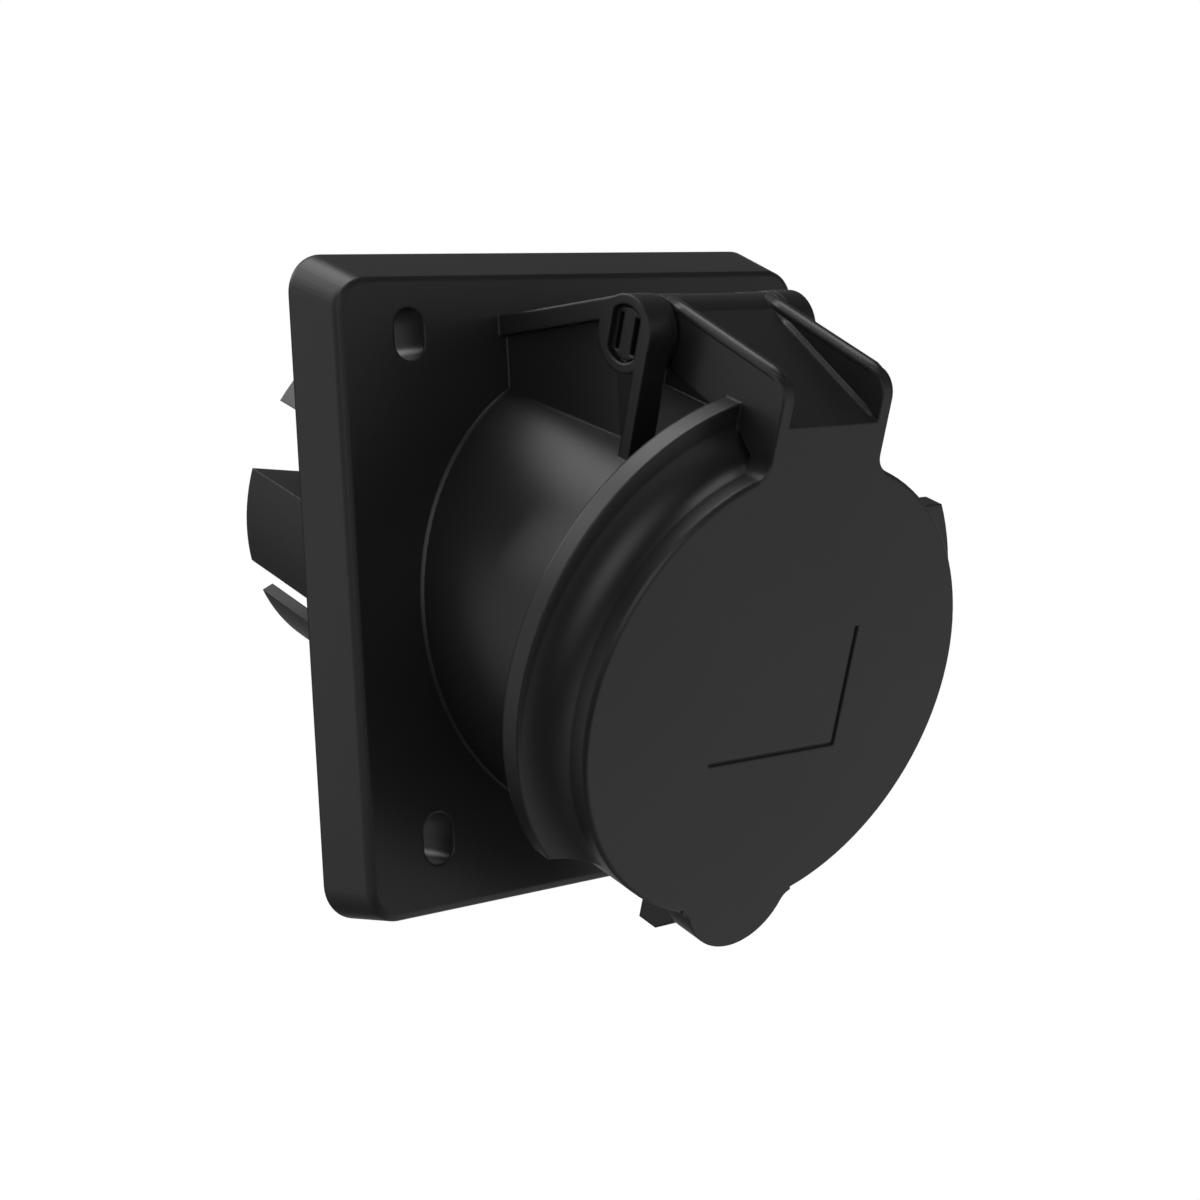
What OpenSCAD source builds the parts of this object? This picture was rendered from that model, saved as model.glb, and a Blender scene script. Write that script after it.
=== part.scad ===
// Inclined industrial panel socket outlet: a drafted square flange, a round barrel tilted
// downwards, and a spring-closed lid hinged on two cheeks above the barrel.
// Frame: origin at the centre of the fixing pattern on the flange's back face,
// +X to the right, +Y into the panel, +Z up. Millimetres.

/* [Flange] */
// Width of the flange at its back face
flange_w = 75; // [70:0.5:90]
// Height of the flange at its back face
flange_h = 79.5; // [76:0.5:95]
// Depth of the flange, from its front face to its back face
flange_t = 8.2; // [7:0.2:12]
// How far the flange's middle lies above the middle of the fixing pattern
flange_rise = 0.34; // [-0.5:0.02:1]
// Radius of the flange's corners at the back face
flange_corner_r = 4.7; // [3:0.1:7]
// Draft of each side, measured at the front face
side_draft = 1.18; // [0.3:0.02:2]
// Draft of the bottom, measured at the front face
bottom_draft = 0.46; // [0.2:0.02:2]
// Rounding of the front edge
front_edge = 0.9; // [0.4:0.1:1.4]
// Thickness of the front plate
plate_t = 2.8; // [2.2:0.1:4]
// Thickness of the skirt at its back edge
skirt_t = 1.8; // [1.5:0.1:2.4]

/* [Fixing] */
// Distance between the fixing slots across
fixing_w = 52.5; // [50:0.5:60]
// Distance between the fixing slots up and down
fixing_h = 60; // [56:0.5:66]
// Width of a fixing slot
slot_w = 4.3; // [3.8:0.1:5]
// Length of a fixing slot
slot_l = 6.2; // [5:0.1:7]
// Wall round a fixing slot
slot_wall = 1.9; // [1.5:0.1:2.4]
// Thickness of the stiffening ribs
rib_t = 1.6; // [1:0.1:2.5]
// Width of the flange gasket
gasket_w = 2.6; // [2:0.1:3]
// Thickness of the flange gasket
gasket_t = 2.6; // [1.5:0.1:3]

/* [Barrel] */
// Downward tilt of the barrel
tilt = 20; // [10:1:25]
// How far the barrel's axis crosses the flange front below the fixing centre
axis_drop = 2.5; // [0:0.1:4]
// Outer radius of the barrel
barrel_r = 26.6; // [25:0.1:28]
// Wall of the barrel
barrel_wall = 2; // [1.6:0.1:2.6]
// Length of the barrel in front of the flange, along its axis
barrel_l = 28.45; // [26:0.05:34]
// Radius of the hub behind the flange
hub_r = 28.8; // [28.4:0.1:31]
// Half the width of the keyway block under the barrel's mouth
key_half_w = 4.2; // [3.6:0.1:6]
// Depth of the keyway block along the barrel
key_l = 5.7; // [4:0.1:12]
// Distance from the axis to the bottom of the keyway block
key_r = 33.6; // [31:0.1:36]
// Wall of the keyway block
key_wall = 1.5; // [1:0.1:2]

/* [Hinge] */
// Distance of the hinge axis in front of the axis crossing, along the barrel
hinge_y = 11.5; // [9:0.1:14]
// Distance of the hinge axis above the barrel's axis
hinge_z = 37.1; // [36:0.1:42]
// Radius of the bosses round the hinge pin
boss_r = 4.6; // [4.2:0.1:6]
// Half the distance between the outer sides of the cheeks
cheek_x = 13; // [12:0.1:16]
// Width of the raised frame of a cheek
cheek_w = 3.5; // [2.5:0.1:4.2]
// Thickness of a cheek's web at its front leg
web_t = 1; // [0.8:0.1:1.2]
// Thickness of a cheek's web at the flange
web_root_t = 2.4; // [1.4:0.1:2.8]
// Thickness of the strip along the top of a cheek
strip_t = 2.4; // [1.5:0.1:3.5]
// Thickness of a cheek's front leg
leg_t = 1.8; // [1.2:0.1:3]
// Radius of the hinge pin's head, which carries the lid
pin_r = 3.05; // [2.6:0.05:3.4]
// Distance across the flats of the pin's head
pin_flats = 4.3; // [3.4:0.1:5]
// Radius of the pin's slim end, inside the spring
pin_slim_r = 2.3; // [1.8:0.05:2.5]
// Thickness of the web between the grooves of the pin's head
pin_web = 2; // [1.2:0.1:3]
// Wire diameter of the lid spring
wire_d = 0.8; // [0.6:0.05:1]
// Turns of the lid spring
spring_turns = 7; // [4:1:9]

/* [Lid] */
// Depth of the lid, from its flat face to the back of its rim
lid_depth = 9.1; // [7:0.1:12]
// Distance from the axis crossing to the lid's flat face
lid_face_y = 34.3; // [31:0.1:40]
// Wall of the lid's cap, outside the gap round the barrel
cap_wall = 0.9; // [0.8:0.05:2]
// Rise of the cap's centre above the barrel's axis
cap_rise = 0.46; // [0:0.02:1]
// Radius of the lid's rim
rim_r = 33; // [31:0.1:36]
// Rise of the rim's centre above the barrel's axis
rim_rise = 2; // [0.5:0.1:3]
// Thickness of the rim
rim_t = 2.7; // [1.5:0.1:3.5]
// Level, below the barrel's axis, at which the rim ends
rim_end = 19.7; // [15:0.1:23]
// Level above the barrel's axis up to which the rim reaches on the right
rim_gap_z = 19.3; // [15:0.1:30]
// Radius of the hollow between the rim and the cap
cove_r = 4.5; // [2:0.1:5]
// Thickness of the lid's face
lid_t = 2.6; // [1.8:0.1:3.2]
// Gap between the lid and the barrel it closes over
lid_gap = 0.8; // [0.5:0.05:1]
// Radius of the finger tab
tab_r = 8; // [6:0.1:10]
// Distance from the barrel's axis down to the tab's centre
tab_z = 24.4; // [23:0.1:27]
// Thickness of the finger tab
tab_t = 4.1; // [3:0.1:5]
// Half the width of the lid's arm
arm_half_w = 8.45; // [7:0.05:9]
// Thickness of the arm's side ribs
arm_rib_t = 1.6; // [1.2:0.1:2.5]
// Height of the ribs above the face's upper end, at the front
arm_front_h = 36.8; // [35.5:0.1:40]
// Fillet where the tab and the arm meet the cap
lid_fillet = 2.2; // [1:0.1:3]
// Width of the corner groove in the lid's face
groove_w = 0.5; // [0.3:0.1:1]
// Depth of the corner groove
groove_depth = 0.35; // [0.2:0.05:0.8]
// Length of the groove's upright leg
groove_up = 15.4; // [8:0.2:18]
// Length of the groove's level leg
groove_across = 19.4; // [10:0.2:22]
// Thickness of the lid seal
seal_t = 3.2; // [2:0.05:3.6]

/* [Contacts] */
// Clock hour of the earth contact, seen from the front
earth_hour = 5; // [1:1:12]
// Radius of the circle on which the contacts lie
pole_r = 12.8; // [12.4:0.1:13.4]
// Radius of the contact carrier inside the barrel
insert_r = 21.2; // [20.5:0.1:21.8]
// Recess of the contact carrier behind the barrel's mouth
insert_recess = 1.4; // [0.5:0.1:3]
// Bore radius of a phase contact
phase_bore_r = 2.55; // [2.3:0.05:2.6]
// Bore radius of the earth contact
earth_bore_r = 3.55; // [3.3:0.05:3.6]
// Chamfer of the pin entries in the contact carrier
entry_chamfer = 0.6; // [0.3:0.1:0.8]
// Wall of a contact sleeve
sleeve_wall = 1.2; // [0.9:0.05:1.3]
// Wire diameter of the rings round the sleeves
ring_d = 0.7; // [0.5:0.05:0.8]
// Width of the cross slits in the sleeves
slit_w = 0.7; // [0.4:0.1:0.9]
// Length of the cross slits in the sleeves
slit_l = 14; // [8:0.5:18]

/* [Terminals] */
// Radius of the terminal carrier behind the flange
shell_r = 26.2; // [25.8:0.05:26.3]
// Distance from the axis crossing back to the end of the terminal carrier
shell_end = 41.4; // [38:0.2:50]
// Wall of the terminal chambers
shell_wall = 1.6; // [1.2:0.1:2]
// Half the angle that a terminal chamber spans
chamber_half = 34.5; // [32:0.5:37]
// Half the angle of the screwdriver slot in a chamber
slot_half = 5.5; // [4.5:0.25:7]
// Radius of the solid core between the chambers
core_r = 6.5; // [5.5:0.1:8]
// Angle by which the chambers lag behind the contacts they serve
chamber_clock = 2.5; // [0:0.25:3]
// Thickness of a contact's tail
tail_t = 2; // [1.2:0.1:2.4]
// Wall of a clamp cage
cage_wall = 1.1; // [0.8:0.05:1.3]
// Length of a clamp cage along the barrel
cage_l = 10; // [7:0.5:12]
// Radius of the terminal screws
screw_r = 2; // [1.5:0.1:2.2]

/* [Hidden] */
$fn = 96;

BLACK = [0.13, 0.13, 0.135];
RUBBER = [0.09, 0.09, 0.09];
BRASS = [0.78, 0.66, 0.4];
STEEL = [0.72, 0.73, 0.75];

eps = 0.01;
over = 1;
seat_gap = 0.05;
fit_gap = 0.1;

top_draft = flange_t * tan(tilt);
plate_back = plate_t - flange_t;
bore_r = barrel_r - barrel_wall;
mouth_y = -barrel_l;

// Stack along the barrel's axis, from the plug cavity's floor backwards
cavity_floor = 6;
carrier_flange_t = 3;
carrier_seal_t = 1;
ledge_y = cavity_floor + carrier_flange_t + carrier_seal_t;
ledge_t = 2.5;
ledge_back = ledge_y + ledge_t;
ledge_r = bore_r - 2.2;
base_t = 3.5;
hub_end = ledge_back + base_t + 0.5;
chamber_y = ledge_back + base_t;
insert_front = mouth_y + insert_recess;

hinge = on_side(-hinge_y, hinge_z);
strip_drop = 1.1;

lid_back = -lid_face_y + lid_depth;
rim_front = lid_back - rim_t;
cap_back = lid_back - 1;
lid_inner = -lid_face_y + lid_t;
groove_at = [10.3, -7.4];
cap_bore_r = barrel_r + lid_gap;
cap_r = cap_bore_r + cap_wall;
arm_root = cap_r - 8.3;
knuckle_r = boss_r - 0.15;
knuckle_wall = 1.05;
knuckle_end = 4.7;
arm_top_z = hinge_z + knuckle_r;

pole_names = ["earth", "l1", "l2", "l3"];
earth_angle = 90 - 30 * earth_hour;
function pole_angle(k) = earth_angle + 90 * k;
function pole_bore(k) = k == 0 ? earth_bore_r : phase_bore_r;
function sleeve_r(k) = pole_bore(k) + sleeve_wall;
collar_r = earth_bore_r + sleeve_wall + 0.45;
collar_t = 3;
sleeve_front = insert_front + 4.2;
ring_y = sleeve_front + 3;
tail_r = pole_r - 1.4;
tail_half_w = 3.2;
tail_end = chamber_y + 15;
cage_y = chamber_y + 4;
cage_half_w = tail_half_w + 0.15 + cage_wall;
cage_in = tail_r - fit_gap - cage_wall;
cage_out = cage_in + 9.4;
screw_head_t = 2.4;
screw_head_r = 2.9;

// A point of the tilted side view, turned into the part's own Y and Z
function on_side(y, z) = [
    -flange_t + y * cos(tilt) - z * sin(tilt),
    -axis_drop + y * sin(tilt) + z * cos(tilt)
];

// Places its children in the barrel's tilted frame
module on_axis() {
    translate([0, -flange_t, -axis_drop]) rotate([tilt, 0, 0]) children();
}

// Extrudes an X-Z outline from y0 to y1
module along_y(y0, y1) {
    translate([0, y1, 0]) rotate([90, 0, 0]) linear_extrude(y1 - y0) children();
}

// Extrudes a Y-Z outline from x0 to x1
module along_x(x0, x1) {
    translate([x0, 0, 0]) rotate([90, 0, 90]) linear_extrude(x1 - x0) children();
}

// A cylinder along Y
module rod_y(r, y0, y1, x = 0, z = 0) {
    translate([x, y1, z]) rotate([90, 0, 0]) cylinder(r = r, h = y1 - y0);
}

// Moves its children out to one of the poles
module at_pole(k) {
    rotate([0, -pole_angle(k), 0]) children();
}

module rounded_rect(x0, x1, z0, z1, r) {
    translate([x0 + r, z0]) square([x1 - x0 - 2 * r, z1 - z0]);
    translate([x0, z0 + r]) square([x1 - x0, z1 - z0 - 2 * r]);
    for (x = [x0 + r, x1 - r], z = [z0 + r, z1 - r]) translate([x, z]) circle(r);
}

// The flange's outline, drawn in by the given amounts
module flange_outline(side, top, bottom, r) {
    rounded_rect(
        -flange_w / 2 + side, flange_w / 2 - side,
        -flange_h / 2 + flange_rise + bottom, flange_h / 2 + flange_rise - top, r
    );
}

module slot_outline(w, l) {
    translate([-w / 2, -(l - w) / 2]) square([w, l - w]);
    for (s = [-1, 1]) translate([0, s * (l - w) / 2]) circle(w / 2);
}

module at_slots() {
    for (x = [-1, 1], z = [-1, 1]) translate([x * fixing_w / 2, z * fixing_h / 2]) children();
}

// ---------------------------------------------------------------- housing

module flange_body() {
    hull() {
        along_y(-eps, 0) flange_outline(0, 0, 0, flange_corner_r, $fn = 48);
        along_y(-flange_t + front_edge, -flange_t + front_edge + eps)
            flange_outline(side_draft, top_draft, bottom_draft, flange_corner_r - 0.5, $fn = 48);
        along_y(-flange_t + front_edge * 0.3, -flange_t + front_edge * 0.3 + eps)
            flange_outline(side_draft + front_edge * 0.3, top_draft + front_edge * 0.3,
                bottom_draft + front_edge * 0.3, flange_corner_r - 0.8, $fn = 48);
        along_y(-flange_t, -flange_t + eps)
            flange_outline(side_draft + front_edge, top_draft + front_edge,
                bottom_draft + front_edge, flange_corner_r - 1.4, $fn = 48);
    }
}

module flange_hollow() {
    seat = skirt_t + gasket_w;
    along_y(plate_back, over) flange_outline(seat, seat, seat, flange_corner_r - 1);
    along_y(-gasket_t - seat_gap, over) flange_outline(skirt_t, skirt_t, skirt_t, flange_corner_r - 1);
}

// Slot bosses, and ribs that tie them and the hub to the skirt
module flange_ribs() {
    reach_x = flange_w / 2 - skirt_t - gasket_w;
    reach_z = flange_h / 2 - skirt_t - gasket_w - flange_rise;
    rib_back = plate_back + 3.2;
    along_y(plate_back - eps, 0) at_slots() slot_outline(slot_w + 2 * slot_wall, slot_l + 2 * slot_wall);
    for (s = [-1, 1]) {
        along_y(plate_back - eps, rib_back) {
            translate([s * fixing_w / 2 - rib_t / 2, -reach_z]) square([rib_t, 2 * reach_z]);
            translate([-reach_x, s * fixing_h / 2 - rib_t / 2]) square([2 * reach_x, rib_t]);
            translate([s * fixing_w / 4 - rib_t / 2, -reach_z]) square([rib_t, 2 * reach_z]);
        }
    }
}

// One of the two cheeks that carry the hinge pin, on the +X side
module cheek() {
    inner_x = cheek_x - cheek_w;
    blend = 0.12;
    strip_z = hinge[1] + boss_r - blend;
    leg_front = -hinge_y - boss_r + blend;
    leg_foot = on_side(leg_front, bore_r - 3);
    root_y = -flange_t + over;
    web_front = hinge[0] - 2 * boss_r;
    along_x(inner_x, cheek_x) union() {
        cheek_frame(strip_z, leg_front) polygon([
            [root_y, strip_z - strip_drop],
            [hinge[0], strip_z],
            hinge,
            on_side(leg_front, hinge_z),
            leg_foot,
            [root_y, leg_foot[1]]
        ]);
        translate(hinge) circle(boss_r);
    }
    intersection() {
        along_x(inner_x, cheek_x - 0.5) polygon([
            [root_y, strip_z - strip_drop - blend],
            [hinge[0], strip_z - blend],
            on_side(leg_front + blend, hinge_z),
            on_side(leg_front + blend, bore_r - 2.9),
            [root_y, leg_foot[1] + blend]
        ]);
        // The web thickens from the boss to the flange, so that it leaves the mould
        linear_extrude(2 * hinge_z) polygon([
            [inner_x, web_front],
            [inner_x, root_y + over],
            [inner_x + web_root_t, root_y + over],
            [inner_x + web_root_t, -flange_t],
            [inner_x + web_t, hinge[0] + boss_r],
            [inner_x + web_t, web_front]
        ]);
    }
    on_axis() translate([arm_half_w + 0.25, -hinge_y, hinge_z]) rotate([0, 90, 0])
        cylinder(r = boss_r - blend / 2, h = cheek_w);
}

// Leaves only the strip and the leg of the cheek's outline
module cheek_frame(strip_z, leg_front) {
    difference() {
        children();
        polygon([
            [-flange_t + 0.5, strip_z - strip_drop - strip_t],
            [hinge[0], strip_z - strip_t],
            on_side(leg_front + leg_t, hinge_z),
            on_side(leg_front + leg_t, 0),
            [-flange_t + 0.5, 0]
        ]);
    }
}

// Outline of the pin's flattened head, grown by a gap
module pin_outline(gap) {
    intersection() {
        circle(pin_r + gap);
        square([pin_flats + 2 * gap, 3 * pin_r], center = true);
    }
}

module hinge_holes() {
    translate([0, -hinge_y, hinge_z]) {
        along_x(-cheek_x - over, 0) pin_outline(seat_gap);
        along_x(-cheek_x - over, -cheek_x + 0.9) pin_outline(0.35);
        rotate([0, 90, 0]) cylinder(r = pin_slim_r + seat_gap, h = cheek_x - 1.2);
    }
}

module key_block() {
    along_x(-key_half_w, key_half_w) polygon([
        [mouth_y, 0],
        [mouth_y, -key_r + 2],
        [mouth_y + 2.6, -key_r],
        [mouth_y + key_l, -key_r],
        [mouth_y + key_l, 0]
    ]);
}

module barrel_bores() {
    rod_y(bore_r, mouth_y - over, ledge_y);
    rod_y(ledge_r, ledge_y - over, ledge_back + over);
    rod_y(shell_r + 0.2, ledge_back, hub_end + over);
    translate([-key_half_w + key_wall, mouth_y - over, -key_r + key_wall])
        cube([2 * (key_half_w - key_wall), key_l - key_wall + over, key_r - key_wall]);
}

module housing() color(BLACK) {
    difference() {
        union() {
            difference() {
                flange_body();
                flange_hollow();
            }
            flange_ribs();
            on_axis() rod_y(barrel_r, mouth_y, ledge_back);
            intersection() {
                on_axis() rod_y(hub_r, -hub_r, hub_end);
                translate([-flange_w / 2, plate_back - over, -flange_h / 2])
                    cube([flange_w, flange_h, flange_h]);
            }
            cheek();
            mirror([1, 0, 0]) cheek();
            on_axis() key_block();
        }
        along_y(-flange_t - over, over) at_slots() slot_outline(slot_w, slot_l);
        on_axis() {
            barrel_bores();
            hinge_holes();
        }
    }
}

// ---------------------------------------------------------------- lid

// Round cap with a small bevel round its face
module cap_turned() {
    bevel = 0.4;
    translate([0, 0, cap_rise]) rotate([-90, 0, 0]) rotate_extrude() polygon([
        [0, -lid_face_y],
        [cap_r - bevel, -lid_face_y],
        [cap_r, -lid_face_y + bevel],
        [cap_r, cap_back],
        [0, cap_back]
    ]);
}

// Hollow cove in the corner between the rim's front and the cap's wall
module cove_turned() {
    bite = 0.05;
    c = [cap_r + cove_r - bite, rim_front - cove_r + bite];
    translate([0, 0, cap_rise]) rotate([-90, 0, 0]) rotate_extrude() difference() {
        polygon([
            [cap_r - over, c[1]],
            [c[0], c[1]],
            [c[0], rim_front + over],
            [cap_r - over, rim_front + over]
        ]);
        translate(c) circle(cove_r);
    }
}

// Outline that fills the corner between two circles with a fillet, on the +X side
module fillet_between(z0, r0, z1, r1, rf) {
    d = z0 - z1;
    a = r0 + rf;
    b = r1 + rf;
    drop = (a * a - b * b + d * d) / (2 * d);
    x = sqrt(a * a - drop * drop);
    c = [x, z0 - drop];
    difference() {
        polygon([
            [0, z0],
            [x * r0 / a, z0 - drop * r0 / a],
            c,
            [x * r1 / b, z1 + (c[1] - z1) * r1 / b],
            [0, z1]
        ]);
        translate(c) circle(rf);
    }
}

module tab_outline() {
    translate([0, -tab_z]) circle(tab_r);
    for (m = [0, 1]) mirror([m, 0]) fillet_between(cap_rise, cap_r, -tab_z, tab_r, lid_fillet);
}

// Fillets between the arm's sides and the cap
module neck_outline() {
    c = [arm_half_w + lid_fillet, cap_rise + sqrt(pow(cap_r + lid_fillet, 2) - pow(arm_half_w + lid_fillet, 2))];
    translate([-arm_half_w, 0]) square([2 * arm_half_w, c[1]]);
    for (m = [0, 1]) mirror([m, 0]) difference() {
        polygon([[0, cap_rise], [c[0] * cap_r / (cap_r + lid_fillet),
            cap_rise + (c[1] - cap_rise) * cap_r / (cap_r + lid_fillet)], c, [arm_half_w, c[1]], [0, c[1]]]);
        translate(c) circle(lid_fillet);
    }
}

// Side view of an arm rib
module arm_side() {
    corner = 3;
    top_front = [-lid_face_y + corner, arm_front_h + corner - 0.8];
    polygon([
        [-hinge_y, arm_top_z],
        [top_front[0], top_front[1] - 0.2],
        [-lid_face_y, arm_front_h - corner * 0.35],
        [-lid_face_y, arm_root],
        [lid_inner, arm_root],
        [lid_inner, cap_r - 0.3],
        [rim_front, cap_bore_r + 3.6],
        [-hinge_y - knuckle_r + 0.6, hinge_z - knuckle_r + 1.2],
        [-hinge_y, hinge_z - 1]
    ]);
    intersection() {
        translate([-lid_face_y + corner, arm_front_h - corner * 0.35]) circle(corner);
        translate([-lid_face_y, arm_root]) square([lid_depth, hinge_z]);
    }
}

// Side view of the sloping plate between the ribs
module arm_slope() {
    foot = 33;
    plate = 1.7;
    polygon([
        [-hinge_y, arm_top_z],
        [-lid_face_y, foot],
        [-lid_face_y, arm_root],
        [lid_inner, arm_root],
        [lid_inner, foot - plate],
        [-hinge_y - 3.2, arm_top_z - plate - 1]
    ]);
}

module knuckle() {
    translate([0, -hinge_y, hinge_z]) rotate([0, 90, 0])
        translate([0, 0, -arm_half_w]) cylinder(r = knuckle_r, h = 2 * arm_half_w);
}

module knuckle_bores() {
    translate([0, -hinge_y, hinge_z]) rotate([0, 90, 0]) {
        translate([0, 0, -arm_half_w - over]) cylinder(r = pin_r + seat_gap, h = arm_half_w + over);
        cylinder(r = pin_slim_r + seat_gap, h = arm_half_w + over);
        translate([0, 0, -knuckle_end]) cylinder(r = knuckle_r - knuckle_wall, h = 2 * knuckle_end);
    }
    // The middle of the knuckle is open, apart from its top front, which covers the spring
    translate([-knuckle_end, -hinge_y - knuckle_r - over, hinge_z - knuckle_r - over])
        cube([2 * knuckle_end, 2 * knuckle_r + 2 * over, knuckle_r + 2 + over]);
    translate([-knuckle_end, -hinge_y + 0.5, hinge_z])
        cube([2 * knuckle_end, knuckle_r + over, knuckle_r + over]);
}

// The part of the rim that is there: above its lower ends, and not beside the arm on the right
module rim_reach(side) {
    intersection() {
        children();
        translate([-rim_r - over, -lid_face_y - over, -rim_end - side]) cube([2 * rim_r + 2 * over, lid_depth + 2 * over, 80]);
    }
}

module rim() {
    rim_reach(0) rod_y(rim_r, rim_front, lid_back, z = rim_rise);
    rim_reach(-0.02) intersection() {
        cove_turned();
        rod_y(rim_r - 0.15, -lid_face_y, lid_back, z = rim_rise);
    }
}

module lid() color(BLACK) {
    on_axis() difference() {
        union() {
            cap_turned();
            difference() {
                rim();
                rim_gap();
            }
            along_y(-lid_face_y, -lid_face_y + tab_t) tab_outline();
            along_y(-lid_face_y, lid_inner + 1) neck_outline();
            for (s = [0, 1]) mirror([s, 0, 0])
                along_x(arm_half_w - arm_rib_t, arm_half_w) arm_side();
            along_x(-arm_half_w + 0.5, arm_half_w - 0.5) arm_slope();
            knuckle();
        }
        rod_y(cap_bore_r, lid_inner, lid_back + over);
        knuckle_bores();
        // Room for the keyway block under the barrel's mouth
        translate([-key_half_w - 0.5, mouth_y - 0.5, -key_r - over])
            cube([2 * key_half_w + 1, lid_depth, key_r + over]);
        face_groove();
    }
}

// The rim is left out between the arm and this angle on the right-hand side
module rim_gap() {
    translate([arm_half_w + 0.02, -lid_face_y - over, rim_gap_z])
        cube([rim_r, lid_depth + 2 * over, 40]);
}

// Plain corner line in the lid's face
module face_groove() {
    translate([groove_at[0], -lid_face_y - over, groove_at[1] - groove_w / 2]) {
        cube([groove_w, over + groove_depth, groove_up]);
        translate([-groove_across, 0, 0]) cube([groove_across + groove_w, over + groove_depth, groove_w]);
    }
}

module lid_seal() color(RUBBER) {
    on_axis() difference() {
        rod_y(cap_bore_r - fit_gap, lid_inner, lid_inner + seal_t);
        rod_y(bore_r - 1.8, lid_inner - over, lid_inner + seal_t + over);
    }
}

// ---------------------------------------------------------------- hinge

module hinge_pin() color(BLACK) {
    head_x = -cheek_x + 0.5;
    on_axis() translate([0, -hinge_y, hinge_z]) {
        difference() {
            along_x(head_x, -knuckle_end - fit_gap) pin_outline(0);
            for (s = [-1, 1]) along_x(head_x - over, -knuckle_end - 1.2)
                translate([s * (pin_web / 2 + pin_flats / 2), 0]) square([pin_flats, 1.45 * pin_r], center = true);
        }
        translate([-knuckle_end - 1, 0, 0]) rotate([0, 90, 0])
            cylinder(r = pin_slim_r, h = knuckle_end + cheek_x - 1.4);
    }
}

// Points along the spring's wire: a leg forwards under the arm, the coil, a leg down to the barrel
coil_r = pin_slim_r + wire_d / 2 + 0.12;
coil_pitch = wire_d + 0.12;
coil_w = spring_turns * coil_pitch;
coil_steps = 20;
coil_total = coil_steps * spring_turns - coil_steps / 4;
leg_end_z = barrel_r - hinge_z + wire_d / 2 - 0.1;
spring_path = concat(
    [[-coil_w / 2, -12.4, -coil_r], [-coil_w / 2, -1, -coil_r]],
    [for (i = [0 : coil_total])
        let(a = 270 + 360 * i / coil_steps)
        [-coil_w / 2 + coil_w * i / coil_total, coil_r * cos(a), coil_r * sin(a)]],
    [[coil_w / 2, -coil_r, -1], [coil_w / 2, -coil_r, leg_end_z]]
);

// Sweeps a round wire along a path
module wire(path, r, sides = 8) {
    n = len(path);
    function unit(v) = v / norm(v);
    function way(i) = unit(path[min(i + 1, n - 1)] - path[max(i - 1, 0)]);
    function ring(i) = let(
        t = way(i),
        u = unit(cross(t, abs(t[0]) > 0.9 ? [0, 0, 1] : [1, 0, 0])),
        v = cross(t, u)
    ) [for (j = [0 : sides - 1]) path[i] + r * (cos(360 * j / sides) * u + sin(360 * j / sides) * v)];
    points = [for (i = [0 : n - 1]) each ring(i)];
    walls = [for (i = [0 : n - 2], j = [0 : sides - 1]) let(k = (j + 1) % sides)
        [i * sides + j, i * sides + k, (i + 1) * sides + k, (i + 1) * sides + j]];
    ends = [[for (j = [sides - 1 : -1 : 0]) j], [for (j = [0 : sides - 1]) (n - 1) * sides + j]];
    polyhedron(points = points, faces = concat(walls, ends));
}

module lid_spring() color(STEEL) {
    on_axis() translate([0, -hinge_y, hinge_z]) wire(spring_path, wire_d / 2);
}

// ---------------------------------------------------------------- gasket

module flange_gasket() color(RUBBER) {
    seat = skirt_t + gasket_w;
    along_y(-gasket_t, 0) difference() {
        flange_outline(skirt_t + seat_gap, skirt_t + seat_gap, skirt_t + seat_gap, flange_corner_r - 1);
        flange_outline(seat - 0.2, seat - 0.2, seat - 0.2, flange_corner_r - 1.2);
    }
}

// ---------------------------------------------------------------- contacts

module contact_carrier() color(BLACK) {
    on_axis() difference() {
        union() {
            rod_y(insert_r, insert_front, cavity_floor + eps);
            rod_y(bore_r - fit_gap, cavity_floor, cavity_floor + carrier_flange_t);
            rod_y(ledge_r - 0.15, cavity_floor, ledge_back);
        }
        for (k = [0 : 3]) at_pole(k) {
            rod_y(pole_bore(k) + 0.5, insert_front - over, ledge_back + over, x = pole_r);
            translate([pole_r, insert_front + entry_chamfer, 0]) rotate([90, 0, 0])
                cylinder(r1 = pole_bore(k) + 0.5, r2 = pole_bore(k) + 0.5 + 2 * entry_chamfer, h = 2 * entry_chamfer);
            rod_y(sleeve_r(k) + ring_d + 0.25, sleeve_front - 0.3, ledge_back + over, x = pole_r);
            rod_y(collar_r + fit_gap, ledge_back - collar_t, ledge_back + over, x = pole_r);
        }
        at_screws() rod_y(screw_r * 0.9, ledge_back - 8, ledge_back + over);
    }
}

module carrier_seal() color(RUBBER) {
    on_axis() difference() {
        rod_y(bore_r - fit_gap, ledge_y - carrier_seal_t, ledge_y);
        rod_y(ledge_r, 0, ledge_y + over);
    }
}

// The four fixing screws of the terminal carrier, in the gaps between the chambers
module at_screws() {
    for (k = [0 : 3]) rotate([0, chamber_clock - pole_angle(k) - 45, 0])
        translate([ledge_r - 3.6, 0, 0]) children();
}

// A wedge that opens along +X
module wedge(half) {
    reach = 2 * shell_r;
    polygon([[0, 0], [reach * cos(half), -reach * sin(half)], [reach * cos(half), reach * sin(half)]]);
}

// Space inside a chamber, closed towards the core and the shell
module chamber_hollow() {
    difference() {
        intersection() {
            circle(shell_r - shell_wall);
            translate([shell_wall / sin(chamber_half), 0]) wedge(chamber_half);
        }
        circle(core_r + 0.4);
    }
}

// Open gap between two chambers
module chamber_gap() {
    difference() {
        wedge(45 - chamber_half);
        circle(core_r);
    }
}

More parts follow.
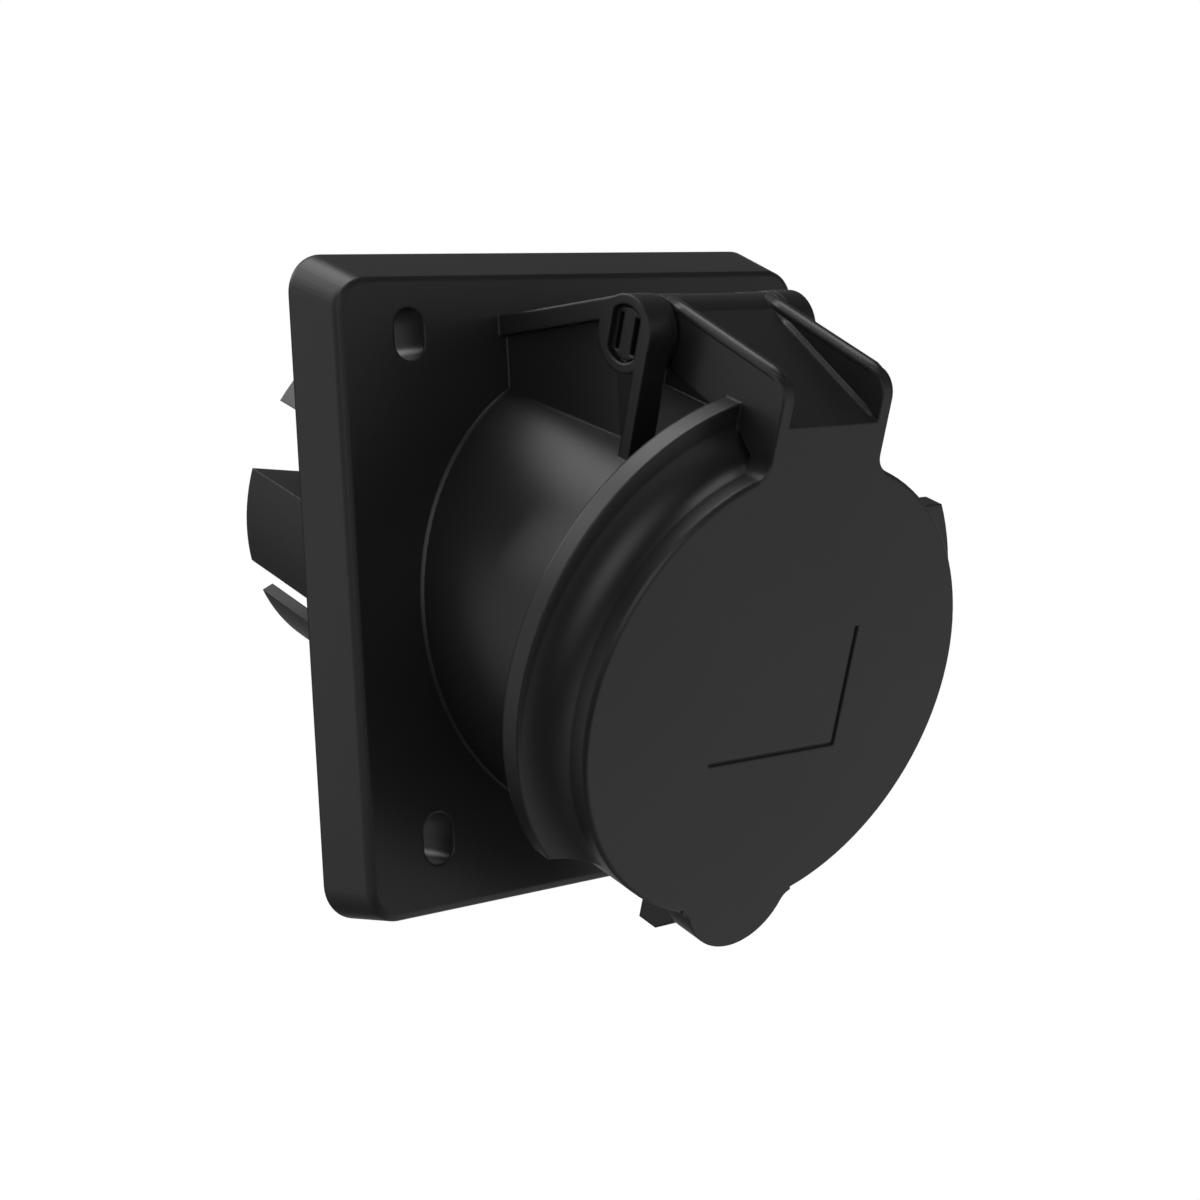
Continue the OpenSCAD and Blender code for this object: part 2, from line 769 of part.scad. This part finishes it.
module terminal_carrier() color(BLACK) {
    slot_w = 2 * shell_r * sin(slot_half);
    on_axis() difference() {
        rod_y(shell_r, ledge_back, shell_end);
        for (k = [0 : 3]) at_pole(k) {
            rotate([0, chamber_clock, 0]) {
                along_y(chamber_y, shell_end + over) chamber_hollow();
                translate([shell_r * 0.75, chamber_y, -slot_w / 2])
                    cube([shell_r, shell_end, slot_w]);
                rotate([0, -45, 0]) along_y(chamber_y, shell_end + over) chamber_gap();
            }
            translate([tail_r - fit_gap, ledge_back - over, -tail_half_w - fit_gap])
                cube([tail_t + 2 * fit_gap, base_t + 2 * over, 2 * (tail_half_w + fit_gap)]);
        }
        at_screws() rod_y(screw_r + 0.2, ledge_back - over, chamber_y + over);
    }
}

module carrier_screws() color(STEEL) {
    on_axis() at_screws() difference() {
        union() {
            rod_y(screw_r * 0.9 - 0.02, ledge_back - 7.5, chamber_y + eps);
            rod_y(screw_head_r, chamber_y, chamber_y + screw_head_t);
        }
        for (a = [0, 90]) rotate([0, a, 0]) translate([-1.7, chamber_y + 1.1, -0.4]) cube([3.4, 3, 0.8]);
    }
}

// A slit brass sleeve with a collar and a flat tail for the clamp cage
module contact(k) color(BRASS) {
    on_axis() at_pole(k) {
        difference() {
            union() {
                rod_y(sleeve_r(k), sleeve_front, ledge_back, x = pole_r);
                rod_y(collar_r, ledge_back - collar_t + fit_gap, ledge_back, x = pole_r);
            }
            rod_y(pole_bore(k), sleeve_front - over, ledge_back - collar_t - 3, x = pole_r);
            for (a = [0, 90]) translate([pole_r, sleeve_front + slit_l / 2 - over, 0]) rotate([0, a, 0])
                cube([4 * collar_r, slit_l + 2 * over, slit_w], center = true);
        }
        translate([tail_r, ledge_back - eps, -tail_half_w]) cube([tail_t, tail_end - ledge_back, 2 * tail_half_w]);
    }
}

module contact_ring(k) color(STEEL) {
    on_axis() at_pole(k) translate([pole_r, ring_y, 0]) rotate([90, 0, 0]) rotate_extrude()
        translate([sleeve_r(k) + ring_d / 2 + 0.02, 0]) circle(ring_d / 2, $fn = 32);
}

module clamp_cage(k) color(STEEL) {
    on_axis() at_pole(k) difference() {
        translate([cage_in, cage_y, -cage_half_w]) cube([cage_out - cage_in, cage_l, 2 * cage_half_w]);
        translate([cage_in + cage_wall, cage_y - over, -cage_half_w + cage_wall])
            cube([cage_out - cage_in - 2 * cage_wall, cage_l + 2 * over, 2 * (cage_half_w - cage_wall)]);
        translate([cage_out - cage_wall - over, cage_y + cage_l / 2, 0]) rotate([0, 90, 0])
            cylinder(r = screw_r + 0.03, h = cage_wall + 2 * over);
    }
}

module terminal_screws() color(STEEL) {
    on_axis() for (k = [0 : 3]) at_pole(k) translate([0, cage_y + cage_l / 2, 0]) rotate([0, 90, 0]) difference() {
        union() {
            translate([0, 0, cage_out - 2.6]) cylinder(r = screw_r, h = 2.8);
            translate([0, 0, cage_out + 0.1]) cylinder(r = screw_head_r, h = screw_head_t);
        }
        translate([-3, -0.5, cage_out + screw_head_t - 0.9]) cube([6, 1, 3]);
    }
}

housing();
lid();
hinge_pin();
lid_spring();
lid_seal();
flange_gasket();
contact_carrier();
carrier_seal();
terminal_carrier();
carrier_screws();
contact(0);  // contact_earth
contact(1);  // contact_l1
contact(2);  // contact_l2
contact(3);  // contact_l3
contact_ring(0);  // contact_ring_earth
contact_ring(1);  // contact_ring_l1
contact_ring(2);  // contact_ring_l2
contact_ring(3);  // contact_ring_l3
clamp_cage(0);  // clamp_cage_earth
clamp_cage(1);  // clamp_cage_l1
clamp_cage(2);  // clamp_cage_l2
clamp_cage(3);  // clamp_cage_l3
terminal_screws();
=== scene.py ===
# %% [markdown]
# # An inclined industrial panel socket
#
# The real object is a power outlet for the wall of a machine or a switch cabinet. A square
# flange is screwed to the panel, a round barrel leaves it at a downward slant so that rain
# runs off, and a sprung lid closes the barrel. Everything outside is one black plastic.
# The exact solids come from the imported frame. This script adds what the solids leave out:
# soft fillets, rounded rib crests, and above all the finishes, the studio and the light.

import math

import bmesh
import bpy
from mathutils import Matrix, Vector


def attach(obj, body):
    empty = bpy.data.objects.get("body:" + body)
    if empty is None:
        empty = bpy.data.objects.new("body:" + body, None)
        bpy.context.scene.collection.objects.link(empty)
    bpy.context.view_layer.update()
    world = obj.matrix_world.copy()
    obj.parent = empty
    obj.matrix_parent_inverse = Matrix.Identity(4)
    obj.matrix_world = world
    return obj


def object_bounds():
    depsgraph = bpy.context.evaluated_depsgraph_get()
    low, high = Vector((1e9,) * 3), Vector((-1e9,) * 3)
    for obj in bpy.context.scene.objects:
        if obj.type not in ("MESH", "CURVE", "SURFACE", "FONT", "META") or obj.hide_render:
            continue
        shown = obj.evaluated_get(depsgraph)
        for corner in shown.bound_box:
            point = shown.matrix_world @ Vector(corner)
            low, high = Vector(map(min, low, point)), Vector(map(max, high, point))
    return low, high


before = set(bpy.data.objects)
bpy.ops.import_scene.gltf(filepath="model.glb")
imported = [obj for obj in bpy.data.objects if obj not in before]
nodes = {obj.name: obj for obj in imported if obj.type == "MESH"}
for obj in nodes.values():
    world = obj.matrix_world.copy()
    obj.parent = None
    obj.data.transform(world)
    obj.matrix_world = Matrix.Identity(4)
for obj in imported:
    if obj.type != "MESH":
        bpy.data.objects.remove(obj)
cad_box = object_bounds()
scene = bpy.context.scene

# %% [markdown]
# ## The barrel's tilted frame
#
# Most of the object is turned about one axis that slants 20 degrees down out of the flange.
# It is easier to place details in that slanted frame and to turn them into the object's
# frame at the end, so one function does that. Lengths are written in millimetres, because
# that is how such a part is drawn, and become metres in one place.

# %% Millimetres and the slanted frame
MM = 0.001
FLANGE_T = 8.2
AXIS_DROP = 2.5
TILT = math.radians(20)
BARREL_R = 26.6


def part_point(x, y, z):
    """A point in the part's own frame, given in millimetres."""
    return Vector((x, y, z)) * MM


def barrel_point(x, y, z):
    """A point in the barrel's slanted frame: y runs along the axis, into the panel."""
    return part_point(
        x,
        -FLANGE_T + y * math.cos(TILT) - z * math.sin(TILT),
        -AXIS_DROP + y * math.sin(TILT) + z * math.cos(TILT),
    )


print("the axis crosses the flange at", [round(v, 4) for v in barrel_point(0, 0, 0)])

# %% [markdown]
# ## Camera
#
# The object is seen from its left and a little above, with the panel side turned away. A
# long lens keeps the flange's edges nearly parallel. The camera is placed by its own three
# axes: one points back from the object, and the other two are turned by a slight roll.

# %% Camera
CAMERA_PLACE = (-192.834, -248.016, 21.139)
CAMERA_AZIMUTH, CAMERA_ELEVATION, CAMERA_ROLL = map(math.radians, (-38.849, 2.345, -3.142))

camera_data = bpy.data.cameras.new("camera")
camera_data.sensor_width = 36
camera_data.lens = 73.924
camera_data.shift_x = 0.00473
camera_data.shift_y = -0.08302
camera_data.clip_start = 0.01
camera = bpy.data.objects.new("camera", camera_data)
bpy.context.collection.objects.link(camera)
scene.camera = camera

back = Vector((
    math.sin(CAMERA_AZIMUTH) * math.cos(CAMERA_ELEVATION),
    -math.cos(CAMERA_AZIMUTH) * math.cos(CAMERA_ELEVATION),
    math.sin(CAMERA_ELEVATION),
))
right = (-back).cross(Vector((0, 0, 1))).normalized()
up = right.cross(-back)
rolled_right = right * math.cos(CAMERA_ROLL) + up * math.sin(CAMERA_ROLL)
rolled_up = up * math.cos(CAMERA_ROLL) - right * math.sin(CAMERA_ROLL)
turn = Matrix((rolled_right, rolled_up, back)).transposed().to_4x4()
camera.matrix_world = Matrix.Translation(part_point(*CAMERA_PLACE)) @ turn
print("camera at", [round(v, 3) for v in camera.matrix_world.translation])

# %% [markdown]
# ## Colour and node helpers
#
# Finishes are given as sRGB hex values, as on a colour card. Blender mixes light in linear
# values, so one function turns the first into the second. One small function adds a shader
# node, sets its values and links its inputs.


# %% Helpers for finishes
def linear(hex_colour):
    channels = [int(hex_colour[i:i + 2], 16) / 255 for i in (1, 3, 5)]
    curve = [c / 12.92 if c <= 0.04045 else ((c + 0.055) / 1.055) ** 2.4 for c in channels]
    return (*curve, 1.0)


def add(tree, kind, inputs=None, **settings):
    """Adds a node. An input's value is either a plain value or another node's output."""
    node = tree.nodes.new(kind)
    for name, value in settings.items():
        setattr(node, name, value)
    for name, value in (inputs or {}).items():
        if isinstance(value, bpy.types.NodeSocket):
            tree.links.new(value, node.inputs[name])
        else:
            node.inputs[name].default_value = value
    return node


def new_material(name, viewport):
    material = bpy.data.materials.new(name)
    material.use_nodes = True
    material.node_tree.nodes.clear()
    material.diffuse_color = linear(viewport)
    return material, material.node_tree


print("a mid grey of #808080 is", round(linear("#808080")[0], 3), "in linear light")

# %% [markdown]
# ## Black polyamide, moulded
#
# The housing, the lid and the contact carriers are glass-filled polyamide, moulded in a
# spark-eroded tool. To the eye it is a dark neutral black with a satin sheen. The tool's
# texture is so fine, about a tenth of a millimetre, that it only widens the reflections, so
# it is drawn over three times as coarse to show at all. Flow and handling leave broad, faint
# changes of gloss, about 20 mm across. Moulded edges are never sharp. Cutting a round into
# every edge of the solids would cost many faces, so the shader rounds them instead.


# %% Moulded plastic
PLASTIC_IOR = 1.47
CLOUD_MM = 22
GRAIN_MM, GRAIN_DEPTH_MM = 0.35, 0.012
GLOSS_CHANGE = 0.03
CLOUD_TINT = 1.15


def moulded_plastic(name, tone, roughness, edge_mm):
    material, tree = new_material(name, tone)
    place = add(tree, "ShaderNodeTexCoord").outputs["Object"]
    cloud = add(tree, "ShaderNodeTexNoise", {
        "Vector": place, "Scale": 1 / (CLOUD_MM * MM), "Detail": 3.0}).outputs["Fac"]
    gloss = add(tree, "ShaderNodeMapRange", {
        "Value": cloud, "From Min": 0.3, "From Max": 0.7,
        "To Min": roughness - GLOSS_CHANGE, "To Max": roughness + GLOSS_CHANGE})
    grain = add(tree, "ShaderNodeTexNoise", {
        "Vector": place, "Scale": 1 / (GRAIN_MM * MM), "Detail": 2.0, "Roughness": 0.6})
    edges = add(tree, "ShaderNodeBevel", {"Radius": edge_mm * MM}, samples=6)
    bump = add(tree, "ShaderNodeBump", {
        "Height": grain.outputs["Fac"], "Distance": GRAIN_DEPTH_MM * MM, "Strength": 0.35,
        "Normal": edges.outputs["Normal"]})
    paler = tuple(c * CLOUD_TINT for c in linear(tone)[:3]) + (1,)
    tint = add(tree, "ShaderNodeMix", {
        "Factor": cloud, "A": linear(tone), "B": paler}, data_type="RGBA")
    shader = add(tree, "ShaderNodeBsdfPrincipled", {
        "Base Color": tint.outputs[2], "Roughness": gloss.outputs["Result"],
        "Normal": bump.outputs["Normal"], "IOR": PLASTIC_IOR})
    add(tree, "ShaderNodeOutputMaterial", {"Surface": shader.outputs["BSDF"]})
    print("made", name, "with edges rounded by", edge_mm, "mm")
    return material


# Name, tone, roughness, and the radius of the edges in millimetres
polyamide = moulded_plastic("polyamide_black_moulded", "#131314", 0.36, 0.45)
polyamide_lid = moulded_plastic("polyamide_black_moulded_lid", "#131314", 0.36, 0.5)
polyamide_inner = moulded_plastic("polyamide_black_moulded_inner", "#131313", 0.4, 0.2)

# %% [markdown]
# ## Black rubber
#
# The seals are moulded from black EPDM rubber. It looks dull and a little greyer than the
# plastic, with a fine uneven skin of about half a millimetre and patches, some 9 mm wide,
# where the surface has bloomed. One noise drives the bump and another the roughness.


# %% Rubber
RUBBER_IOR = 1.5
SKIN_MM, SKIN_DEPTH_MM = 0.5, 0.03
BLOOM_MM = 9


def rubber(name, tone):
    material, tree = new_material(name, tone)
    place = add(tree, "ShaderNodeTexCoord").outputs["Object"]
    speck = add(tree, "ShaderNodeTexNoise", {
        "Vector": place, "Scale": 1 / (SKIN_MM * MM), "Detail": 4.0})
    bloom = add(tree, "ShaderNodeTexNoise", {"Vector": place, "Scale": 1 / (BLOOM_MM * MM)})
    dull = add(tree, "ShaderNodeMapRange", {
        "Value": bloom.outputs["Fac"], "To Min": 0.6, "To Max": 0.85})
    bump = add(tree, "ShaderNodeBump", {
        "Height": speck.outputs["Fac"], "Distance": SKIN_DEPTH_MM * MM, "Strength": 0.5})
    shader = add(tree, "ShaderNodeBsdfPrincipled", {
        "Base Color": linear(tone), "Roughness": dull.outputs["Result"],
        "Normal": bump.outputs["Normal"], "IOR": RUBBER_IOR})
    add(tree, "ShaderNodeOutputMaterial", {"Surface": shader.outputs["BSDF"]})
    print("made", name)
    return material


epdm = rubber("epdm_rubber_black", "#191919")

# %% [markdown]
# ## Brass, zinc plating and spring wire
#
# The contact sleeves are turned brass, warm and a little tarnished. The clamps and screws are
# steel with a zinc plating, which is bright but cloudy, and the springs are drawn wire. All
# three are bare metals that differ only in tone, gloss and the size of their clouds, so one
# function makes them. Scratches of about 0.4 mm break up the reflections.


# %% Metals
SCRATCH_MM, SCRATCH_DEPTH_MM = 0.4, 0.008
CLOUD_SHINIER, CLOUD_DULLER = 0.06, 0.08


def bare_metal(name, tone, dark_tone, roughness, cloud_mm, edge_mm):
    material, tree = new_material(name, tone)
    place = add(tree, "ShaderNodeTexCoord").outputs["Object"]
    cloud = add(tree, "ShaderNodeTexNoise", {
        "Vector": place, "Scale": 1 / (cloud_mm * MM), "Detail": 4.0}).outputs["Fac"]
    colour = add(tree, "ShaderNodeMix", {
        "Factor": cloud, "A": linear(dark_tone), "B": linear(tone)}, data_type="RGBA")
    gloss = add(tree, "ShaderNodeMapRange", {
        "Value": cloud,
        "To Min": roughness - CLOUD_SHINIER, "To Max": roughness + CLOUD_DULLER})
    edges = add(tree, "ShaderNodeBevel", {"Radius": edge_mm * MM}, samples=4)
    scratches = add(tree, "ShaderNodeTexNoise", {
        "Vector": place, "Scale": 1 / (SCRATCH_MM * MM), "Detail": 2.0})
    bump = add(tree, "ShaderNodeBump", {
        "Height": scratches.outputs["Fac"], "Distance": SCRATCH_DEPTH_MM * MM,
        "Strength": 0.4, "Normal": edges.outputs["Normal"]})
    shader = add(tree, "ShaderNodeBsdfPrincipled", {
        "Base Color": colour.outputs[2], "Roughness": gloss.outputs["Result"],
        "Metallic": 1.0, "Normal": bump.outputs["Normal"]})
    add(tree, "ShaderNodeOutputMaterial", {"Surface": shader.outputs["BSDF"]})
    print("made", name)
    return material


# Name, tone, darker tone, roughness, and the sizes of clouds and edges in millimetres
brass = bare_metal("brass_turned", "#d8bd78", "#bf9f58", 0.26, 3.0, 0.12)
zinc = bare_metal("steel_zinc_plated", "#d4d6d8", "#b9bcbf", 0.28, 2.0, 0.15)
spring_steel = bare_metal("steel_spring_wire", "#b4b5b6", "#97989a", 0.22, 6.0, 0.05)

# %% [markdown]
# ## A finish for every solid
#
# A solid keeps its shape and only gets a new material in its slots. Most solids are named
# here one by one. The contacts, their rings and the clamps come in fours and are told apart
# by the start of their names.

# %% Give every solid its finish
FINISH = {
    "housing": polyamide, "hinge_pin": polyamide, "lid": polyamide_lid,
    "contact_carrier": polyamide_inner, "terminal_carrier": polyamide_inner,
    "lid_seal": epdm, "flange_gasket": epdm, "carrier_seal": epdm,
    "carrier_screws": zinc, "terminal_screws": zinc, "lid_spring": spring_steel,
}
# The first start that fits counts, so the rings come before the contacts
FINISH_BY_START = {"contact_ring": spring_steel, "clamp": zinc, "contact": brass}
for name, solid in nodes.items():
    finish = FINISH.get(name)
    if finish is None:
        finish = next(material for start, material in FINISH_BY_START.items()
                      if name.startswith(start))
    for slot in solid.material_slots:
        slot.material = finish
print("finished", len(nodes), "solids")

# %% [markdown]
# ## The studio round the object
#
# The object floats in an even, white studio. Nearly everything that one sees on black
# plastic is a reflection, so the studio's bright and dark sides matter more than its lamps.
# The world is white to the camera. Reflections see a pale floor in front on the right, a
# pale wall behind on the left, and a dim rest; all other light is plain and even. The
# bright sides are soft lobes round fixed directions of the room, so they stay where they
# are when the camera moves. One lies in front on the left: no flat face mirrors it there, but
# every rounded edge does, and it draws them as thin light lines.

# %% World


def room_way(azimuth_deg, elevation_deg):
    """A direction in the room. Azimuth 0 is in front of the flange, 90 to its right."""
    a, e = math.radians(azimuth_deg), math.radians(elevation_deg)
    return Vector((math.sin(a) * math.cos(e), -math.cos(a) * math.cos(e), math.sin(e)))


# Each pale side of the room: azimuth, elevation, how narrow it is, and how bright
PALE_SIDES = [
    (60, -60, 6, 0.60),    # floor in front, on the right
    (60, -20, 8, 0.33),    # where that floor meets the wall
    (30, 0, 10, 0.46),     # wall in front
    (235, 5, 8, 0.61),     # wall behind, on the left
    (240, -25, 6, 0.18),   # floor behind, on the left
    (120, 15, 3, 0.08),    # wide glow on the right
    (321, 16, 14, 1.9),    # the side that only rounded edges mirror
    (140, -18, 8, 0.35),   # floor behind, on the right
]
DIM_REST = 0.035
PLAIN_LEVEL = 0.9
WHITE = (1, 1, 1, 1)

world = bpy.data.worlds.new("studio")
scene.world = world
world.use_nodes = True
sky = world.node_tree
sky.nodes.clear()
way = add(sky, "ShaderNodeTexCoord").outputs["Generated"]
rays = add(sky, "ShaderNodeLightPath").outputs
room = DIM_REST
for azimuth_deg, elevation_deg, narrow, strength in PALE_SIDES:
    facing = add(sky, "ShaderNodeVectorMath", {
        0: way, 1: room_way(azimuth_deg, elevation_deg)},
        operation="DOT_PRODUCT").outputs["Value"]
    facing = add(sky, "ShaderNodeMath", {0: facing, 1: 0.0}, operation="MAXIMUM").outputs[0]
    lobe = add(sky, "ShaderNodeMath", {0: facing, 1: narrow}, operation="POWER").outputs[0]
    room = add(sky, "ShaderNodeMath", {
        0: lobe, 1: strength, 2: room}, operation="MULTIPLY_ADD").outputs[0]
plain = add(sky, "ShaderNodeBackground", {"Color": WHITE, "Strength": PLAIN_LEVEL})
mirror = add(sky, "ShaderNodeBackground", {"Color": WHITE, "Strength": room})
white = add(sky, "ShaderNodeBackground", {"Color": WHITE, "Strength": 1.0})
shine = add(sky, "ShaderNodeMath", {
    0: rays["Is Glossy Ray"], 1: rays["Is Transmission Ray"]}, operation="MAXIMUM")
unseen = add(sky, "ShaderNodeMixShader", {
    0: shine.outputs[0], 1: plain.outputs[0], 2: mirror.outputs[0]})
surround = add(sky, "ShaderNodeMixShader", {
    0: rays["Is Camera Ray"], 1: unseen.outputs[0], 2: white.outputs[0]})
add(sky, "ShaderNodeOutputWorld", {"Surface": surround.outputs[0]})
scene.view_settings.view_transform = "Standard"
print("pale sides:", len(PALE_SIDES))

# %% [markdown]
# ## Floor
#
# The floor is matt white paper, well below the object, with a faint unevenness. To the camera
# it is pure white, like the world, so that no horizon shows. It throws plain light up from
# below, but reflections don't see it, because the room's lobes already stand for it there.

# %% Floor
FLOOR_DROP = 0.06
FLOOR_HALF = 1.5

floor_z = cad_box[0][2] - FLOOR_DROP
corners = [(x * FLOOR_HALF, y * FLOOR_HALF, floor_z)
           for x, y in ((-1, -1), (1, -1), (1, 1), (-1, 1))]
floor_mesh = bpy.data.meshes.new("floor")
floor_mesh.from_pydata(corners, [], [(0, 1, 2, 3)])
floor = bpy.data.objects.new("floor", floor_mesh)
bpy.context.collection.objects.link(floor)
paper, tree = new_material("paper_white_matt", "#f4f4f4")
rays = add(tree, "ShaderNodeLightPath").outputs
grain = add(tree, "ShaderNodeTexNoise", {"Scale": 60.0})
tone = add(tree, "ShaderNodeMix", {
    "Factor": grain.outputs["Fac"], "A": linear("#eaeaea"), "B": linear("#f2f2f2")},
    data_type="RGBA")
matt = add(tree, "ShaderNodeBsdfDiffuse", {"Color": tone.outputs[2]})
bright = add(tree, "ShaderNodeEmission", {"Color": WHITE, "Strength": 1.0})
mixed = add(tree, "ShaderNodeMixShader", {
    0: rays["Is Camera Ray"], 1: matt.outputs[0], 2: bright.outputs[0]})
add(tree, "ShaderNodeOutputMaterial", {"Surface": mixed.outputs[0]})
floor_mesh.materials.append(paper)
floor.visible_glossy = False
print("floor at", round(floor_z, 4))

# %% [markdown]
# ## Lamps
#
# Long highlights on a barrel need lamps with an area. Four square softboxes hang overhead
# and behind, half a metre from the object and facing it, and each is about half as wide as
# it is far away, so that the edges of its highlights stay soft.


# %% Lamps
LAMP_DISTANCE = 0.5
LAMPS_FACE = (0, -20, 0)


def softbox(name, azimuth_deg, elevation_deg, side, power):
    """A square lamp that faces the object from a direction of the room. Metres and watts."""
    data = bpy.data.lights.new(name, "AREA")
    data.shape = "SQUARE"
    data.size = side
    data.energy = power
    lamp = bpy.data.objects.new(name, data)
    bpy.context.collection.objects.link(lamp)
    way_out = room_way(azimuth_deg, elevation_deg)
    lamp.location = part_point(*LAMPS_FACE) + way_out * LAMP_DISTANCE
    lamp.rotation_euler = (-way_out).to_track_quat("-Z", "Y").to_euler()
    print(name, "at", [round(v, 2) for v in lamp.location])


softbox("softbox_overhead_back", 190, 70, side=0.28, power=0.63)
softbox("softbox_back_left", 210, 38, side=0.22, power=0.64)
softbox("softbox_top", 0, 88, side=0.25, power=0.46)
softbox("softbox_left_high", 240, 60, side=0.25, power=0.13)

# %% [markdown]
# ## Fillets and rounded crests
#
# A mould never has sharp inner corners, and thin ribs end in a rounded crest. The shader
# rounds most edges by changing how they shade, but where the rounding is wide enough to be
# seen it gets a form of its own. Each one is a skin over a row of rings: a ring is the
# section at one place, and neighbouring rings are joined by faces.


# %% A skin over rings
def skin(name, rings, body, loop=False):
    """Joins rings of points into one closed surface. A row that isn't a loop gets two ends."""
    size, count = len(rings[0]), len(rings)
    faces = []
    for i in range(count if loop else count - 1):
        k = (i + 1) % count
        for j in range(size):
            m = (j + 1) % size
            faces.append((i * size + j, i * size + m, k * size + m, k * size + j))
    if not loop:
        faces += [tuple(range(size)), tuple(range((count - 1) * size, count * size))]
    mesh = bpy.data.meshes.new(name)
    mesh.from_pydata([point for ring in rings for point in ring], [], faces)
    form = bmesh.new()
    form.from_mesh(mesh)
    bmesh.ops.recalc_face_normals(form, faces=form.faces)
    form.to_mesh(mesh)
    form.free()
    mesh.materials.append(polyamide)
    for polygon in mesh.polygons:
        polygon.use_smooth = len(polygon.vertices) == 4
    piece = bpy.data.objects.new(name, mesh)
    bpy.context.collection.objects.link(piece)
    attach(piece, body)
    print(name, "faces:", len(faces))


def hollow_curve(start, corner, end, inner, steps=6):
    """The section of a fillet: a hollow curve past a corner, closed by a point in the solid."""
    curve = []
    for j in range(steps + 1):
        t = j / steps
        curve.append(start * (1 - t) ** 2 + corner * 2 * t * (1 - t) + end * t ** 2)
    return curve + [inner]


# %% [markdown]
# ### The foot of the barrel
#
# Where the barrel meets the flange, a small fillet catches a thin line of light. The joint is
# an ellipse, because a slanted cylinder cuts a flat face. Each section runs from the barrel's
# wall to the flange, and its ends bite a little into both, so that no gap can open.


# %% Fillet at the barrel's foot
FOOT_SIZE = 0.5
FOOT_DEPTH = 0.4
FOOT_SECTIONS = 160
BITE = 0.02


def barrel_foot():
    axis = Vector((0, math.cos(TILT), math.sin(TILT)))
    centre = barrel_point(0, 0, 0)
    rings = []
    for i in range(FOOT_SECTIONS):
        a = 2 * math.pi * i / FOOT_SECTIONS
        radial = (barrel_point(math.cos(a), 0, math.sin(a)) - centre).normalized()
        start = centre + radial * BARREL_R * MM
        corner = start - axis * ((start.y + FLANGE_T * MM) / axis.y)
        out = Vector((radial.x, 0, radial.z)).normalized()
        rings.append(hollow_curve(
            corner - axis * FOOT_SIZE * MM - radial * BITE * MM, corner,
            corner + out * FOOT_SIZE * MM + Vector((0, BITE * MM, 0)),
            corner + (axis - out) * FOOT_DEPTH * MM))
    skin("barrel_foot_fillet", rings, "base", loop=True)


barrel_foot()

# %% [markdown]
# ### The ribs of the lid's arm
#
# Two ribs stiffen the arm between the hinge and the lid's face, with a sloping plate between
# them. Their crests are fully rounded. Each crest is a round bar, sunk so far into the rib
# that only its top stands out. At the front it follows the rib's round corner, gets thinner
# and sinks away.

# %% Crests of the arm's ribs
RIB_INNER, RIB_OUTER = 6.85, 8.45
RIB_BACK, RIB_FRONT = Vector((0, -12.4, 41.42)), Vector((0, -31.3, 38.78))
RIB_CORNER, RIB_CORNER_R = Vector((0, -31.3, 35.75)), 3.0
CREST_R, CREST_SUNK = 0.88, 0.37
CREST_SIDES = 16
STRAIGHT_STEPS = 6
CORNER_STEPS, CORNER_STEP_DEG = 7, 9
SINK_PER_STEP, THIN_PER_STEP = 0.08, 0.018


def square_to(along):
    """The direction in the side view that is square to a line along the rib, and upwards."""
    return Vector((0, along.z, -along.y))


def crest_path():
    """Places on the crest, each with its way up, how far to sink, and the bar's radius."""
    up = square_to((RIB_FRONT - RIB_BACK).normalized())
    path = [(RIB_BACK.lerp(RIB_FRONT, i / STRAIGHT_STEPS), up, CREST_SUNK, CREST_R)
            for i in range(STRAIGHT_STEPS + 1)]
    for i in range(1, CORNER_STEPS + 1):
        a = math.radians(90 + CORNER_STEP_DEG * i)
        out = Vector((0, math.cos(a), math.sin(a)))
        path.append((RIB_CORNER + out * RIB_CORNER_R, out,
                     CREST_SUNK + SINK_PER_STEP * i, CREST_R - THIN_PER_STEP * i))
    return path


def arm_crest(name, x):
    rings = []
    for place, up, sunk, radius in crest_path():
        ring = []
        for j in range(CREST_SIDES):
            a = 2 * math.pi * j / CREST_SIDES
            p = place + up * (math.sin(a) * radius - sunk)
            ring.append(barrel_point(x + math.cos(a) * radius, p.y, p.z))
        rings.append(ring)
    skin(name, rings, "lid")


print("each crest is drawn through", len(crest_path()), "places")

# %% [markdown]
# ### The fillets beside the ribs
#
# A fillet fills the corner between each rib and the sloping plate. It uses the same hollow
# section as the barrel's foot, but runs straight down the plate. At both ends it narrows to
# almost nothing, so that no end face shows.

# %% Crests and fillets on both sides
PLATE_BACK, PLATE_FRONT = Vector((0, -15.0, 40.24)), Vector((0, -34.28, 33.01))
FILLET_SIZE, FILLET_END_SIZE = 0.7, 0.14
FILLET_DEPTH = 0.3
FILLET_STEPS = 8


def arm_fillet(name, side):
    up = square_to((PLATE_FRONT - PLATE_BACK).normalized())
    sideways = Vector((side, 0, 0))
    rings = []
    for i in range(FILLET_STEPS + 1):
        corner = PLATE_BACK.lerp(PLATE_FRONT, i / FILLET_STEPS) + sideways * RIB_INNER
        size = FILLET_SIZE if 0 < i < FILLET_STEPS else FILLET_END_SIZE
        section = hollow_curve(
            corner + up * size + sideways * BITE, corner,
            corner - sideways * size - up * BITE, corner + (sideways - up) * FILLET_DEPTH)
        rings.append([barrel_point(*p) for p in section])
    skin(name, rings, "lid")


for side_name, side in (("left", -1), ("right", 1)):
    arm_crest("arm_crest_" + side_name, side * (RIB_INNER + RIB_OUTER) / 2)
    arm_fillet("arm_fillet_" + side_name, side)

# %% [markdown]
# ## The end
#
# The last line prints that the scene is built.

# %% The end
print("scene built")
